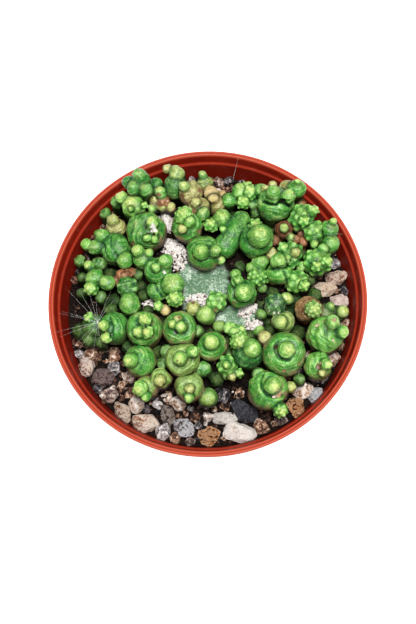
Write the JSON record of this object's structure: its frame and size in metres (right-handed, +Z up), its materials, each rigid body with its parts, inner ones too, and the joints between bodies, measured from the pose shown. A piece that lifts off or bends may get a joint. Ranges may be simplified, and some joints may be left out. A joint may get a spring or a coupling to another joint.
{
  "type": "potted powder puff cactus",
  "caption": "Knobbly, nearly spineless clump of a small cactus with fused heads and bumps, growing in soil and stones in a round tapered plastic pot that stands on its base.",
  "frame": {"origin": "centre of the pot's base, where its axis meets the surface it stands on", "axes": "+Z up along the pot's axis, +Y towards the back of the plant as the picture shows it"},
  "size_m": [0.12, 0.12, 0.1141],
  "materials": {
    "pot_plastic": "satin moulded terracotta-coloured plastic",
    "potting_soil": "moist dark bark-based potting soil",
    "frosted_skin": "frosted grey-green plant skin with white scurf",
    "green_skin": "waxy satin green plant skin",
    "deep_green_skin": "waxy satin deep green plant skin",
    "striped_skin": "satin green plant skin with corky brown stripes",
    "tan_skin": "satin yellowish plant skin",
    "pale_stone": "dry rough pale stone",
    "brown_stone": "dry porous brown stone",
    "dark_stone": "dull dark stone"
  },
  "bodies": {
    "root": {"pot": "pot_plastic", "soil": "potting_soil", "old_body": "frosted_skin", "scarred_head": "green_skin", "pale_knob_head": "green_skin", "smooth_head": "green_skin", "crescent_head": "green_skin", "ringed_head": "green_skin", "wide_head": "green_skin", "back_cluster_head": "green_skin", "bumpy_head": "green_skin", "pale_ball_head": "striped_skin", "striped_back_head": "striped_skin", "stacked_head": "tan_skin", "small_back_head": "green_skin", "rim_head": "green_skin", "red_brown_head": "striped_skin", "lumpy_right_head": "green_skin", "edge_pair_head": "green_skin", "lumpy_middle_head": "deep_green_skin", "ball_trio_head": "green_skin", "twin_top_head": "green_skin", "pyramid_head": "green_skin", "small_centre_head": "green_skin", "left_round_head": "green_skin", "twin_small_head": "green_skin", "middle_ball_head": "green_skin", "left_ball_head": "green_skin", "left_lumpy_head": "deep_green_skin", "haired_head": "green_skin", "bun_left_head": "green_skin", "bun_middle_head": "green_skin", "front_left_head": "green_skin", "bun_low_head": "green_skin", "bun_small_head": "green_skin", "brown_tip_head": "green_skin", "front_middle_head": "green_skin", "small_lumpy_head": "green_skin", "double_knob_head": "green_skin", "largest_head": "green_skin", "front_right_head": "green_skin", "folded_head": "deep_green_skin", "right_low_head": "deep_green_skin", "striped_right_head": "striped_skin", "yellowish_head": "tan_skin", "left_white_stone": "pale_stone", "left_brown_stone": "dark_stone", "white_brown_stone": "pale_stone", "cream_brown_stone": "pale_stone", "grey_brown_stone": "dark_stone", "speckled_stone": "pale_stone", "porous_stone": "brown_stone", "long_cream_stone": "pale_stone", "big_cream_stone": "pale_stone", "charcoal_stone": "dark_stone", "fibrous_stone": "brown_stone", "white_grey_stone": "pale_stone", "right_tan_stone": "pale_stone", "right_cream_stone": "pale_stone", "right_pink_stone": "pale_stone"}
  },
  "joints": []
}
